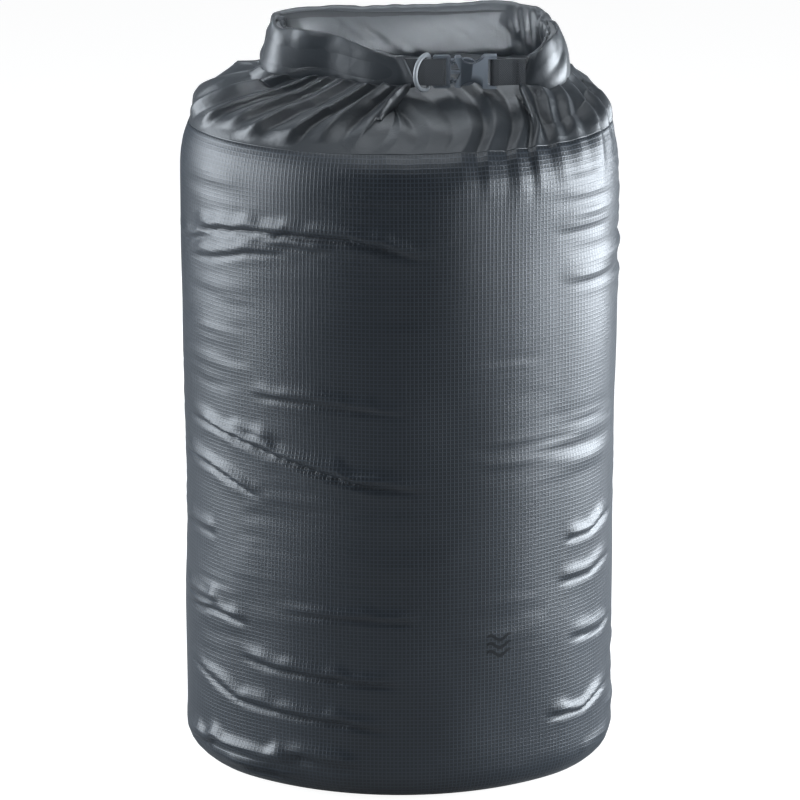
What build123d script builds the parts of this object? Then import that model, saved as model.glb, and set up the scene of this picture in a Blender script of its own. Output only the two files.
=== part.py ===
"""Roll-top sack: an oval fabric bag, rolled shut, whose roll is buckled into a carry loop.

The frame stands on the base: origin at the middle of the base, +X to the wearer's right of the
buckle, -Y to the front, where the buckle is, and +Z up. All sizes are in millimetres.
"""

from math import atan, cos, degrees, hypot, radians, sin
import os

from build123d import *

# ---------------------------------------------------------------- driving sizes of the bag
bag_width = 330.0
bag_depth = 250.0
side_radius_share = 0.84  # end arc's radius over the half depth of the oval
base_corner_radius = 28.0
base_seam_height = 4.0  # where the base panel is sewn to the body panel
wall_height = 470.0  # the upright wall ends here and the shoulder starts
shoulder_rise = 77.0  # end of the wall to the top of the shoulder
collar_seam_rise = 38.0  # end of the wall to the seam between ripstop body and smooth collar
neck_rise = 6.7  # flattened neck between the shoulder and the roll
neck_width = 160.0
neck_depth = 9.0
neck_shift = 15.0  # the neck stands this far behind the middle of the bag
fabric = 1.2  # wall of each fabric panel
fabric_gap = 0.3  # clearance between layers and between soft pieces
tape_width = 20.0
tape_thickness = 0.5
tape_gap = 0.1

# ---------------------------------------------------------------- the rolled mouth
roll_height = 36.0
roll_thickness = 14.0
roll_round_share = 0.42  # corner radius of the roll's section over its thickness
roll_back_left = -86.0  # ends of the straight back stretch
roll_back_right = 88.0
left_turn_radius = 19.0
right_turn_radius = 30.0
front_height = 24.0  # the roll narrows towards the webbing
front_thickness = 8.0
stiffener_thickness = 1.0
turn_drop = 9.0  # how far the roll sinks round each turn
front_drop = 16.5  # how far the strap hangs below the middle of the back stretch

# ---------------------------------------------------------------- webbing, ring and buckle
webbing_width = 20.0
webbing_thickness = 1.4
webbing_gap = 0.15  # webbing to a bar that it wraps
webbing_tail = 15.0  # length sewn inside the end of the roll
left_roll_end = 10.0
right_roll_end = 88.0
ring_bar_x = 21.5
ring_wire = 3.4
ring_eye = 22.0  # clear length of the ring's straight bar
ring_reach = 19.0  # straight bar's middle to the far side of the ring
ring_angle = 54.0  # how far the ring stands off the strap
ring_corner = 4.0
buckle_x = 40.2  # left tips of the socket
buckle_height = 23.0
buckle_thickness = 9.0
waist_height = 14.4
waist_x = 13.0
notch_depth = 5.0
plate_end = 24.8
socket_slot = 3.8
socket_bar = 2.8
socket_bar_thickness = 2.6
channel_half_height = 8.7
channel_end = 19.6
frame_end_x = -15.9
frame_bar = 2.6
frame_middle_x = -9.6
frame_middle_bar = 3.0
crossbar_x = -4.4
crossbar_width = 3.4
frame_thickness = 5.0
arm_thickness = 2.0
guide_half_height = 1.5
guide_end = 9.0
latch_pivot_x = -2.0
latch_pivot_z = 7.2
latch_root = 1.3
latch_neck = 0.5  # half the prong's height where it leaves the round root
seat_width = 3.4
seat_height = 4.6
seat_mouth = 2.1  # narrower than the root, so that the seat holds it
latch_tip_x = 16.0
latch_shoulder_x = 6.6
latch_catch = 1.5  # how far each shoulder reaches behind the socket's rim
latch_thickness = 4.4
latch_clearance = 0.25
pivot_clearance = 0.08
stitch_length = 1.7
stitch_width = 0.6
stitch_height = 0.35

# ---------------------------------------------------------------- places worked out from them
half_width = bag_width / 2
half_depth = bag_depth / 2
end_radius = half_depth * side_radius_share
shoulder_top = wall_height + shoulder_rise
collar_seam_height = wall_height + collar_seam_rise
neck_top = shoulder_top + neck_rise
roll_bottom = neck_top + fabric_gap
back_z = roll_bottom + roll_height / 2
back_y = neck_shift
strap_z = back_z - front_drop
strap_y = back_y - 2 * right_turn_radius
left_front_y = back_y - 2 * left_turn_radius
frame_half = buckle_height / 2 + 0.8
strap_inner_gap = ring_wire + 2 * webbing_gap
horn_height = buckle_height / 2

os.makedirs("parts", exist_ok=True)


def export(block, label):
    """Name the finished piece and write its STEP file."""
    block.part.label = label
    export_step(block.part, f"parts/{label}.step")


def oval(width, depth, end_radius):
    """Four tangent arcs: two ends of end_radius, and a front and a back arc that meet them."""
    a, b, r = width, depth, end_radius
    flat_radius = ((a - r) ** 2 + b**2 - r**2) / (2 * (b - r))
    run = hypot(a - r, flat_radius - b)
    tx = a - r + r * (a - r) / run
    ty = r * (flat_radius - b) / run
    with BuildSketch() as outline:
        with BuildLine():
            ThreePointArc((tx, -ty), (a, 0), (tx, ty))
            ThreePointArc((tx, ty), (0, b), (-tx, ty))
            ThreePointArc((-tx, ty), (-a, 0), (-tx, -ty))
            ThreePointArc((-tx, -ty), (0, -b), (tx, -ty))
        make_face()
    return outline.sketch


# ================================================================ bag: body, base and collar
# half width, half depth, height above the wall and shift to the back, each as a share of the
# whole, from the end of the upright wall up to the top of the shoulder
shoulder_shares = (
    (1.00, 1.00, 0.00, 0.00),
    (0.998, 0.993, 0.16, 0.01),
    (0.978, 0.945, 0.38, 0.06),
    (0.93, 0.79, 0.62, 0.22),
    (0.85, 0.53, 0.80, 0.46),
    (0.755, 0.28, 0.92, 0.72),
    (0.67, 0.11, 1.00, 1.00),
)


def sack_blank(inset):
    """The stuffed sack as one solid, its wall moved in by inset: upright, then lofted ovals."""
    with BuildPart() as blank:
        with BuildSketch(Plane.XY.offset(inset)):
            add(oval(half_width - inset, half_depth - inset, end_radius - inset))
        extrude(amount=wall_height - inset)
        fillet(blank.edges().group_by(Axis.Z)[0], radius=base_corner_radius - inset)
    with BuildPart() as shoulder:
        for across, along, up, back in shoulder_shares:
            width = half_width * across - inset
            depth = half_depth * along - inset
            height = wall_height + (shoulder_rise - inset) * up
            with BuildSketch(Plane.XY.offset(height)):
                with Locations((0, neck_shift * back)):
                    add(oval(width, depth, (depth + inset) * side_radius_share - inset))
        loft()
    return blank.part + shoulder.part


outer_blank = sack_blank(0)
inner_blank = sack_blank(fabric)

with BuildPart() as body_panel:
    add(outer_blank)
    add(inner_blank, mode=Mode.SUBTRACT)
    split(bisect_by=Plane.XY.offset(base_seam_height), keep=Keep.TOP)
    split(bisect_by=Plane.XY.offset(collar_seam_height), keep=Keep.BOTTOM)
export(body_panel, "body_panel")

with BuildPart() as base_panel:
    add(outer_blank)
    add(inner_blank, mode=Mode.SUBTRACT)
    split(bisect_by=Plane.XY.offset(base_seam_height), keep=Keep.BOTTOM)
export(base_panel, "base_panel")

with BuildPart() as collar_panel:
    add(outer_blank)
    split(bisect_by=Plane.XY.offset(collar_seam_height), keep=Keep.TOP)
    with BuildSketch(Plane.XY.offset(shoulder_top - fabric)):
        with Locations((0, neck_shift)):
            RectangleRounded(neck_width, neck_depth, neck_depth * 0.4)
    extrude(amount=neck_rise + fabric)
    add(inner_blank, mode=Mode.SUBTRACT)
    with BuildSketch(Plane.XY.offset(shoulder_top - 2 * fabric)):
        with Locations((0, neck_shift)):
            RectangleRounded(
                neck_width - 2 * fabric, neck_depth - 2 * fabric, neck_depth * 0.4 - fabric
            )
    extrude(amount=neck_rise + 2 * fabric, mode=Mode.SUBTRACT)
export(collar_panel, "collar_panel")

tape_inset = fabric + tape_gap
tape_outer = sack_blank(tape_inset)
tape_inner = sack_blank(tape_inset + tape_thickness)


def tape_blank(low, high):
    """A thin band that lines the body's wall between two heights."""
    with BuildPart() as blank:
        add(tape_outer)
        add(tape_inner, mode=Mode.SUBTRACT)
        split(bisect_by=Plane.XY.offset(low), keep=Keep.TOP)
        split(bisect_by=Plane.XY.offset(high), keep=Keep.BOTTOM)
    return blank.part


collar_tape_low = collar_seam_height - tape_width
base_tape_high = base_seam_height + tape_width * 0.6

with BuildPart() as collar_seam_tape:
    add(tape_blank(collar_tape_low, collar_seam_height - tape_gap))
export(collar_seam_tape, "collar_seam_tape")

with BuildPart() as base_seam_tape:
    add(tape_blank(tape_inset + 2 * tape_thickness, base_tape_high))
export(base_seam_tape, "base_seam_tape")

with BuildPart() as side_seam_tape:
    add(tape_blank(base_tape_high + 1, collar_tape_low - 1))
    with BuildSketch(Plane.XY.offset(base_tape_high)):
        with Locations((0, half_depth)):
            Rectangle(tape_width, half_depth)
    extrude(amount=collar_seam_height, mode=Mode.INTERSECT)
export(side_seam_tape, "side_seam_tape")

# ================================================================ the rolled mouth
# A station is a place along the roll: x, y, height of the middle, heading in degrees from +X,
# height and thickness of the roll there.


def turn_stations(x, radius, side, drop):
    """Stations round a half turn that starts at the back stretch and comes to the front."""
    stations = []
    for step in range(5):
        angle = radians(45 * step)
        stations.append(
            (
                x + side * radius * sin(angle),
                back_y - radius * (1 - cos(angle)),
                back_z - drop * (1 - cos(angle)) / 2,
                90 * (1 - side) - side * 45 * step,
                roll_height - step * 0.5,
                roll_thickness - step * 0.3,
            )
        )
    return stations


front_start = roll_back_left + 10  # where the left front band leaves the turn
front_finish = left_roll_end - 14  # from here on it is in line with the strap


def front_band(share, height, thickness):
    """A station on the left front band, which eases across from the turn to the strap line."""
    reach = front_finish - front_start
    eased = share**2 * (3 - 2 * share)
    slope = 6 * share * (1 - share) * (strap_y - left_front_y) / reach
    return (
        front_start + reach * share,
        left_front_y + (strap_y - left_front_y) * eased,
        back_z - turn_drop + (strap_z - back_z + turn_drop) * eased,
        degrees(atan(slope)),
        height,
        thickness,
    )


back_stations = [
    (roll_back_left, back_y, back_z, 0, roll_height, roll_thickness),
    (roll_back_right, back_y, back_z, 0, roll_height, roll_thickness),
]
left_stations = turn_stations(roll_back_left, left_turn_radius, -1, turn_drop) + [
    front_band(0.25, 33.0, 12.4),
    front_band(0.5, 31.5, 11.6),
    front_band(0.75, 29.0, 10.4),
    front_band(1.0, 26.5, 9.2),
    (left_roll_end, strap_y, strap_z, 0, front_height, front_thickness),
]
right_stations = turn_stations(roll_back_right, right_turn_radius, 1, front_drop)
right_stations[-1] = (right_roll_end, strap_y, strap_z, 180, front_height, front_thickness)


def band(stations, inset, thickness=None):
    """Loft the roll's rounded section through stations, with its skin moved in by inset.

    A stated thickness replaces the section's own.
    """
    with BuildPart() as blank:
        for x, y, z, heading, full_height, full_thickness in stations:
            along = (cos(radians(heading)), sin(radians(heading)), 0)
            tall = full_height - 2 * inset
            thick = thickness or full_thickness - 2 * inset
            with BuildSketch(Plane((x, y, z), x_dir=(0, 0, 1), z_dir=along)):
                RectangleRounded(tall, thick, thick * roll_round_share)
        loft()
    return blank.part


turn_step = fabric + fabric_gap
core_run_out = 16.0  # the inner layers stop this far short of the webbing's tail
tail_start = left_roll_end - webbing_tail
# each segment's stations, and the plane that its inner layers end at, facing what is kept
roll_segments = {
    "back": (back_stations, Plane.XY),
    "left": (left_stations, Plane((tail_start - core_run_out, 0, 0), z_dir=(-1, 0, 0))),
    "right": (right_stations, Plane((0, strap_y + core_run_out, 0), z_dir=(0, 1, 0))),
}
for segment, (stations, core_end) in roll_segments.items():
    with BuildPart() as roll_wrap:
        add(band(stations, 0))
        add(band(stations, fabric), mode=Mode.SUBTRACT)
    export(roll_wrap, f"roll_wrap_{segment}")

    with BuildPart() as roll_inner_turn:
        add(band(stations, turn_step))
        add(band(stations, turn_step + fabric), mode=Mode.SUBTRACT)
        split(bisect_by=core_end, keep=Keep.TOP)
    export(roll_inner_turn, f"roll_inner_turn_{segment}")

    with BuildPart() as mouth_stiffener:
        add(band(stations, turn_step + fabric + fabric_gap, stiffener_thickness))
        split(bisect_by=core_end, keep=Keep.TOP)
    export(mouth_stiffener, f"mouth_stiffener_{segment}")

# ================================================================ webbing
# Plans are drawn in a plane level with the strap's lower edge and stand up by the webbing's width.
strap_plan = Plane(
    (0, strap_y, strap_z - webbing_width / 2), x_dir=(1, 0, 0), z_dir=(0, 0, 1)
)
layer_in = strap_inner_gap / 2
layer_out = layer_in + webbing_thickness
middle_bar_x = buckle_x + frame_middle_x
left_stitch_x = left_roll_end + 2
left_loop_x = ring_bar_x - ring_wire / 2 - 1.5

with BuildPart() as left_webbing:
    with BuildSketch(strap_plan):
        with BuildLine():
            outline = Polyline(
                (middle_bar_x, layer_out),
                (left_loop_x, layer_out),
                (left_stitch_x, webbing_thickness),
                (left_roll_end - webbing_tail, webbing_thickness),
                (left_roll_end - webbing_tail, -webbing_thickness),
                (left_stitch_x, -webbing_thickness),
                (left_loop_x, -layer_out),
                (middle_bar_x, -layer_out),
            )
            ThreePointArc(
                (middle_bar_x, -layer_out),
                (middle_bar_x + layer_out, 0),
                (middle_bar_x, layer_out),
            )
        make_face()
        with BuildLine():
            Polyline(
                (middle_bar_x, layer_in),
                (left_loop_x + 0.5, layer_in),
                (left_stitch_x + 2.2, 0),
                (left_loop_x + 0.5, -layer_in),
                (middle_bar_x, -layer_in),
            )
            ThreePointArc(
                (middle_bar_x, -layer_in),
                (middle_bar_x + layer_in, 0),
                (middle_bar_x, layer_in),
            )
        make_face(mode=Mode.SUBTRACT)
    extrude(amount=webbing_width)
export(left_webbing, "left_webbing")

bar_middle_x = buckle_x + plate_end + socket_slot + socket_bar / 2
bar_layer_in = hypot(socket_bar, socket_bar_thickness) / 2 + webbing_gap
bar_layer_out = bar_layer_in + webbing_thickness
right_stitch_x = right_roll_end - 5

with BuildPart() as right_webbing:
    with BuildSketch(strap_plan):
        with BuildLine():
            Polyline(
                (bar_middle_x, bar_layer_out),
                (bar_middle_x + 3, bar_layer_out),
                (right_stitch_x, webbing_thickness),
                (right_roll_end + webbing_tail / 3, webbing_thickness),
                (right_roll_end + webbing_tail / 3, -webbing_thickness),
                (right_stitch_x, -webbing_thickness),
                (bar_middle_x + 3, -bar_layer_out),
                (bar_middle_x, -bar_layer_out),
            )
            ThreePointArc(
                (bar_middle_x, -bar_layer_out),
                (bar_middle_x - bar_layer_out, 0),
                (bar_middle_x, bar_layer_out),
            )
        make_face()
        with BuildLine():
            Polyline(
                (bar_middle_x, bar_layer_in),
                (bar_middle_x + 2.5, bar_layer_in),
                (right_stitch_x - 2.2, 0),
                (bar_middle_x + 2.5, -bar_layer_in),
                (bar_middle_x, -bar_layer_in),
            )
            ThreePointArc(
                (bar_middle_x, -bar_layer_in),
                (bar_middle_x - bar_layer_in, 0),
                (bar_middle_x, bar_layer_in),
            )
        make_face(mode=Mode.SUBTRACT)
    extrude(amount=webbing_width)
export(right_webbing, "right_webbing")

# Bar-tacks: two close columns of thread on the front face where the webbing is sewn to itself.
for side, stitch_x in (("left", left_roll_end + 1.0), ("right", right_roll_end - 1.0)):
    face = Plane((stitch_x, strap_y - webbing_thickness, strap_z), (1, 0, 0), (0, -1, 0))
    with BuildPart() as bartack:
        with BuildSketch(face):
            with GridLocations(0, 2 * stitch_width, 1, 14):
                Rectangle(stitch_length, stitch_width)
        extrude(amount=stitch_height)
    export(bartack, f"{side}_bartack")

# ================================================================ D-ring
ring_plane = Plane(
    (ring_bar_x, strap_y, strap_z),
    x_dir=(-cos(radians(ring_angle)), -sin(radians(ring_angle)), 0),
    z_dir=(-sin(radians(ring_angle)), cos(radians(ring_angle)), 0),
)
ring_half = ring_eye / 2 + ring_wire / 2
with BuildPart() as d_ring:
    with BuildLine(ring_plane) as ring_path:
        Line((0, -ring_half), (0, ring_half))
        ThreePointArc((0, ring_half), (ring_reach - ring_wire / 2, 0), (0, -ring_half))
        fillet(ring_path.vertices(), radius=ring_corner)
    with BuildSketch(Plane(ring_path.line @ 0, z_dir=ring_path.line % 0)):
        Circle(ring_wire / 2)
    sweep(path=ring_path.line)
export(d_ring, "d_ring")

# ================================================================ buckle
# The buckle's plane faces the front: its x runs along the strap from the socket's left tips,
# and its y stands up.
buckle_plane = Plane((buckle_x, strap_y, strap_z), x_dir=(1, 0, 0), z_dir=(0, -1, 0))
waist = waist_height / 2
bar_end = plate_end + socket_slot + socket_bar

with BuildPart() as buckle_socket:
    with BuildSketch(buckle_plane):
        with BuildLine():
            Polyline((notch_depth, 0), (0, horn_height - 1.5), (1.0, horn_height), (4.6, horn_height))
            ThreePointArc((4.6, horn_height), (waist_x, waist), (20.6, horn_height))
            Polyline((20.6, horn_height), (22.4, horn_height + 0.9), (bar_end, horn_height + 0.9))
            Line((bar_end, horn_height + 0.9), (bar_end, 0))
            Line((bar_end, 0), (notch_depth, 0))
        make_face()
        mirror(about=Plane.XZ)
    extrude(amount=buckle_thickness / 2, both=True)
    fillet(buckle_socket.edges().filter_by(GeomType.CIRCLE), radius=0.7)
    # the channel that the prongs run in, open at the left end and through both waists
    with BuildSketch(buckle_plane):
        with Locations((channel_end / 2 - 1, 0)):
            Rectangle(channel_end + 2, 2 * channel_half_height)
        with Locations(((6.0 + 19.0) / 2, 0)):
            Rectangle(13.0, 2 * horn_height + 4)
    extrude(amount=latch_thickness / 2 + latch_clearance, both=True, mode=Mode.SUBTRACT)
    # the slot that the webbing passes through, and the thinner bar behind it
    with BuildSketch(buckle_plane):
        with Locations((plate_end + socket_slot / 2, 0)):
            Rectangle(socket_slot, webbing_width + 2 * fabric_gap)
    extrude(amount=buckle_thickness, both=True, mode=Mode.SUBTRACT)
    for face_side in (1, -1):
        with BuildSketch(buckle_plane.offset(face_side * buckle_thickness / 2)):
            with Locations((bar_end - socket_bar / 2 + 0.5, 0)):
                Rectangle(socket_bar + 1, webbing_width + 2 * fabric_gap)
        cut = (buckle_thickness - socket_bar_thickness) / 2
        extrude(amount=-face_side * cut, mode=Mode.SUBTRACT)
export(buckle_socket, "buckle_socket")

with BuildPart() as buckle_plug:
    with BuildSketch(buckle_plane):
        with Locations(((frame_end_x + crossbar_x + crossbar_width / 2) / 2, 0)):
            RectangleRounded(
                crossbar_x + crossbar_width / 2 - frame_end_x, 2 * frame_half, arm_thickness
            )
        with Locations(((frame_end_x + frame_bar + crossbar_x - crossbar_width / 2) / 2, 0)):
            Rectangle(
                crossbar_x - crossbar_width / 2 - frame_end_x - frame_bar,
                webbing_width + 2 * fabric_gap,
                mode=Mode.SUBTRACT,
            )
    extrude(amount=frame_thickness / 2, both=True)
    # the end bar is thinned so that it lies between the webbing's two layers
    for face_side in (1, -1):
        with BuildSketch(buckle_plane.offset(face_side * frame_thickness / 2)):
            with Locations((frame_end_x + frame_bar / 2 - 0.5, 0)):
                Rectangle(frame_bar + 1, webbing_width + 2 * fabric_gap)
        extrude(amount=-face_side * (frame_thickness - frame_bar) / 2, mode=Mode.SUBTRACT)
    # the round bar that the webbing wraps
    with BuildSketch(
        Plane((buckle_x + frame_middle_x, strap_y, strap_z - frame_half + 0.5), z_dir=(0, 0, 1))
    ):
        Circle(frame_middle_bar / 2)
    extrude(amount=2 * frame_half - 1)
    # the tongue that guides the plug down the middle of the socket
    with BuildSketch(buckle_plane):
        with Locations(((crossbar_x + guide_end) / 2, 0)):
            RectangleRounded(guide_end - crossbar_x, 2 * guide_half_height, guide_half_height * 0.8)
    extrude(amount=latch_thickness / 2, both=True)
    # a round seat for the root of each latch prong
    with BuildSketch(buckle_plane):
        with Locations((latch_pivot_x, latch_pivot_z), (latch_pivot_x, -latch_pivot_z)):
            Rectangle(seat_width, seat_height)
    extrude(amount=latch_thickness / 2, both=True)
    with BuildSketch(buckle_plane):
        with Locations((latch_pivot_x, latch_pivot_z), (latch_pivot_x, -latch_pivot_z)):
            Circle(latch_root + pivot_clearance)
        mouth_x = latch_pivot_x + seat_width / 2
        with Locations((mouth_x, latch_pivot_z), (mouth_x, -latch_pivot_z)):
            Rectangle(seat_width, seat_mouth)
    extrude(amount=frame_thickness, both=True, mode=Mode.SUBTRACT)
export(buckle_plug, "buckle_plug")

shoulder_z = channel_half_height + latch_catch - latch_clearance
neck_end = latch_pivot_x + seat_width / 2 + 0.3
for name, side in (("upper", 1), ("lower", -1)):
    with BuildPart() as latch_prong:
        with BuildSketch(buckle_plane):
            with Locations((latch_pivot_x, side * latch_pivot_z)):
                Circle(latch_root)
            with BuildLine():
                Polyline(
                    (latch_pivot_x, side * (latch_pivot_z + latch_neck)),
                    (neck_end, side * (latch_pivot_z + latch_neck)),
                    (neck_end + 0.8, side * (latch_pivot_z + 1.0)),
                    (latch_shoulder_x - 0.3, side * (latch_pivot_z + 1.0)),
                    (latch_shoulder_x, side * shoulder_z),
                )
                ThreePointArc(
                    (latch_shoulder_x, side * shoulder_z),
                    (waist_x, side * (waist + 2.2)),
                    (latch_tip_x, side * (waist - 0.6)),
                )
                Polyline(
                    (latch_tip_x, side * (waist - 0.6)),
                    (latch_tip_x, side * (waist - 2.0)),
                    (latch_shoulder_x + 1, side * (latch_pivot_z - 1.6)),
                    (neck_end + 0.8, side * (latch_pivot_z - 1.0)),
                    (neck_end, side * (latch_pivot_z - latch_neck)),
                    (latch_pivot_x, side * (latch_pivot_z - latch_neck)),
                    (latch_pivot_x, side * (latch_pivot_z + latch_neck)),
                )
            make_face()
        extrude(amount=latch_thickness / 2, both=True)
    export(latch_prong, f"latch_prong_{name}")
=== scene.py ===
"""Roll-top sack: the looks of a stuffed dry sack, worked out around its CAD frame."""

import bmesh
import bpy
import numpy as np
from bpy.props import FloatProperty, FloatVectorProperty, PointerProperty
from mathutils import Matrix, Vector


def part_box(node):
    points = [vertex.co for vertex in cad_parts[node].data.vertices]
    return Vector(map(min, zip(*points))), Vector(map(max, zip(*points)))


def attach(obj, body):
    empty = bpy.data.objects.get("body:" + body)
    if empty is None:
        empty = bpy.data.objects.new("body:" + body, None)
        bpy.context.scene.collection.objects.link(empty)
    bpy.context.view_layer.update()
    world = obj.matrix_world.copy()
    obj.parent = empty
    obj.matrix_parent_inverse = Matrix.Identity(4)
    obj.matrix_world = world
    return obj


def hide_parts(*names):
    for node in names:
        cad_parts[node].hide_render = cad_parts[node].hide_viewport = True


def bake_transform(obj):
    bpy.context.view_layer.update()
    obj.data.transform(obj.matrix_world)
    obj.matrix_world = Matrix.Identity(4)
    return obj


bl_info = {
    "name": "Roll-Top Sack",
    "version": (1, 0, 0),
    "blender": (4, 5, 0),
    "location": "View3D > Sidebar > Sack",
    "description": "Builds the fabric, the rolled mouth and the hardware of a roll-top sack",
    "category": "Object",
}

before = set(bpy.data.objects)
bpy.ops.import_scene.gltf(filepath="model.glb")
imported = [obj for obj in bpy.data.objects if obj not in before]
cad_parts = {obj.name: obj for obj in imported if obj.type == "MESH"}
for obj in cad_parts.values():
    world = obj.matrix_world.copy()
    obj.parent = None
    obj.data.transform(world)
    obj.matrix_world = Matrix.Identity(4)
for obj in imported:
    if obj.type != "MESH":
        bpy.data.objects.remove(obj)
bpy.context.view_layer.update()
MM = 0.001
TURN = 2 * np.pi


def box_mm(node):
    """The low and the high corner of a CAD node's box, in mm."""
    return [np.array(corner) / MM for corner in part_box(node)]


# ---------------------------------------------------------------- sizes read from the frame, in mm
BODY_LOW, BODY_HIGH = box_mm("body_panel")
HALF_WIDTH, HALF_DEPTH, COLLAR_SEAM = BODY_HIGH
BASE_SEAM = BODY_LOW[2]
COLLAR_TOP = box_mm("collar_panel")[1][2]
ROLL_LOW, ROLL_HIGH = box_mm("roll_wrap_back")
_, ROLL_THICKNESS, ROLL_HEIGHT = ROLL_HIGH - ROLL_LOW
_, BACK_Y, BACK_Z = (ROLL_HIGH + ROLL_LOW) / 2
LEFT_END = box_mm("roll_wrap_left")[1][0]
_, STRAP_Y, STRAP_Z = sum(box_mm("left_webbing")) / 2

# ---------------------------------------------------------------- sizes of the cloth, in mm
BASE_RADIUS = 28.0  # of the edge between the base and the wall
END_RADIUS = 0.84 * HALF_DEPTH  # of the oval's two ends
WALL_TOP = COLLAR_SEAM - 38  # where the wall starts to lean in over the contents
SHOULDER_TOP = COLLAR_TOP - 6.7
PANEL_COLUMNS = 384  # points round the sack
FRONT_BUNCHING = 0.42  # how much closer they are at the front
WALL_ROWS = 216
COLLAR_ROWS = 84
BACK_SEAM_FADE = 25.0  # how far from the upright back seam the creases die out
TAPE_DEPTH = 6.0  # how far inside the plain surface the seam tapes lie
STRAP_TALL, STRAP_THICK = 24.0, 8.0  # the roll's section where the strap comes out


# ---------------------------------------------------------------- small helpers
def smooth(x):
    """The curve 3x^2 - 2x^3 from 0 to 1, held flat outside that range."""
    x = np.clip(x, 0, 1)
    return x * x * (3 - 2 * x)


def value_noise(x, y, seed):
    """Smooth noise from -1 to 1: random numbers on whole x and y, joined by the smooth curve."""
    i, j = np.floor(x).astype(np.int64), np.floor(y).astype(np.int64)
    fx, fy = smooth(x - i), smooth(y - j)

    def corner(a, b):
        mixed = (a * 374761393 + b * 668265263 + seed * 974634777) & 0xFFFFFFFF
        mixed = ((mixed ^ (mixed >> 13)) * 1274126177) & 0xFFFFFFFF
        return ((mixed ^ (mixed >> 16)) & 0xFFFF) / 32767.5 - 1

    low = corner(i, j) * (1 - fx) + corner(i + 1, j) * fx
    high = corner(i, j + 1) * (1 - fx) + corner(i + 1, j + 1) * fx
    return low * (1 - fy) + high * fy


def in_scene(name, data):
    """Put a new object with that data in the scene."""
    made = bpy.data.objects.new(name, data)
    bpy.context.scene.collection.objects.link(made)
    return made


def grid_mesh(name, points, uv, closed=True, ring_along=False):
    """A mesh from a grid of points in mm, first index around and second index along.

    uv holds the flat place of each point in metres, with one more column where the grid closes.
    With ring_along the last row joins the first, which makes a wall with an inner side.
    """
    around, along = points.shape[:2]
    i, j = np.meshgrid(
        np.arange(around if closed else around - 1),
        np.arange(along if ring_along else along - 1),
        indexing="ij",
    )
    i, j = i.ravel(), j.ravel()
    k, m = (i + 1) % around, (j + 1) % along
    faces = np.stack([i * along + j, k * along + j, k * along + m, i * along + m], 1)
    mesh = bpy.data.meshes.new(name)
    mesh.from_pydata((points.reshape(-1, 3) * MM).tolist(), [], faces.tolist())
    layer = mesh.uv_layers.new(name="Cloth")
    corners = np.stack([uv[i, j], uv[i + 1, j], uv[i + 1, m], uv[i, m]], 1)
    layer.data.foreach_set("uv", corners.astype(np.float32).ravel())
    mesh.polygons.foreach_set("use_smooth", np.ones(len(faces), bool))
    mesh.update()
    return in_scene(name, mesh)


def grid_normals(points):
    """Outward unit normals of a grid that goes round counterclockwise and up."""
    along = np.roll(points, -1, axis=0) - np.roll(points, 1, axis=0)
    out = np.cross(along, np.gradient(points, axis=1))
    return out / np.maximum(np.linalg.norm(out, axis=2), 1e-9)[..., None]


def walled(points, uv, inset, every):
    """The grid of a cloth with its hidden side added: every few rows again, inset mm further in.

    The outer side is fine enough for its folds. Nothing sees the inner side, so it is coarser.
    """
    rows = np.unique(np.append(np.arange(0, points.shape[1], every), points.shape[1] - 1))[::-1]
    normals = grid_normals(points)
    rims = [points[:, k : k + 1] - normals[:, k : k + 1] * 0.12 for k in (-1, 0)]
    inner = points[:, rows] - normals[:, rows] * inset
    points = np.concatenate([points, rims[0], inner, rims[1]], axis=1)
    return points, np.concatenate([uv, uv[:, -1:], uv[:, rows], uv[:, :1]], axis=1)


def modifier(piece, kind, **settings):
    """Add a modifier of that kind with its settings."""
    added = piece.modifiers.new(kind.title(), kind)
    for key, value in settings.items():
        setattr(added, key, value)
    return added


def finish_piece(piece, material, body, slot, *nodes):
    """Give a piece its material, say what it rides on, and hide the CAD parts whose place it takes.
    """
    piece.data.materials.clear()
    piece.data.materials.append(material)
    if body:
        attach(piece, body)
    if nodes:
        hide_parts(*nodes)
    return piece


# ---------------------------------------------------------------- material helpers
def linear(hex_colour):
    """A colour for a shader socket from an sRGB hex value."""
    channels = [int(hex_colour[k : k + 2], 16) / 255 for k in (1, 3, 5)]
    return (*[c / 12.92 if c <= 0.04045 else ((c + 0.055) / 1.055) ** 2.4 for c in channels], 1)


def fill(tree, node, inputs):
    """Fill a node's sockets with values or with other sockets."""
    for key, value in inputs.items():
        if isinstance(value, bpy.types.NodeSocket):
            tree.links.new(value, node.inputs[key])
        else:
            node.inputs[key].default_value = value


def shade(tree, kind, inputs=None, **settings):
    """Add one node, set its properties and fill its sockets with values or with other sockets."""
    added = tree.nodes.new(kind)
    for key, value in settings.items():
        setattr(added, key, value)
    fill(tree, added, inputs or {})
    return added


def material(name):
    """A new material with an empty node tree, its tree, its shader and its output in place."""
    made = bpy.data.materials.new(name)
    made.use_nodes = True
    tree = made.node_tree
    tree.nodes.clear()
    shader = shade(tree, "ShaderNodeBsdfPrincipled")
    shade(tree, "ShaderNodeOutputMaterial", {"Surface": shader.outputs["BSDF"]})
    return made, tree, shader


def maths(tree, operation, *values):
    """The socket of one Math node."""
    return shade(tree, "ShaderNodeMath", dict(enumerate(values)), operation=operation).outputs[0]


def mix_colours(tree, share, first, second):
    """The colour between two colours, by a share or a socket."""
    inputs = {0: share, 6: first, 7: second}
    return shade(tree, "ShaderNodeMix", inputs, data_type="RGBA", blend_type="MIX").outputs[2]


def noise(tree, place, scale, detail, distortion=0.0):
    """The socket of one Noise Texture node."""
    inputs = {"Vector": place, "Scale": scale, "Detail": detail, "Distortion": distortion}
    return shade(tree, "ShaderNodeTexNoise", inputs).outputs[0]


def object_place(tree):
    """The socket of a piece's Object coordinates."""
    return shade(tree, "ShaderNodeTexCoord").outputs["Object"]


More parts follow.
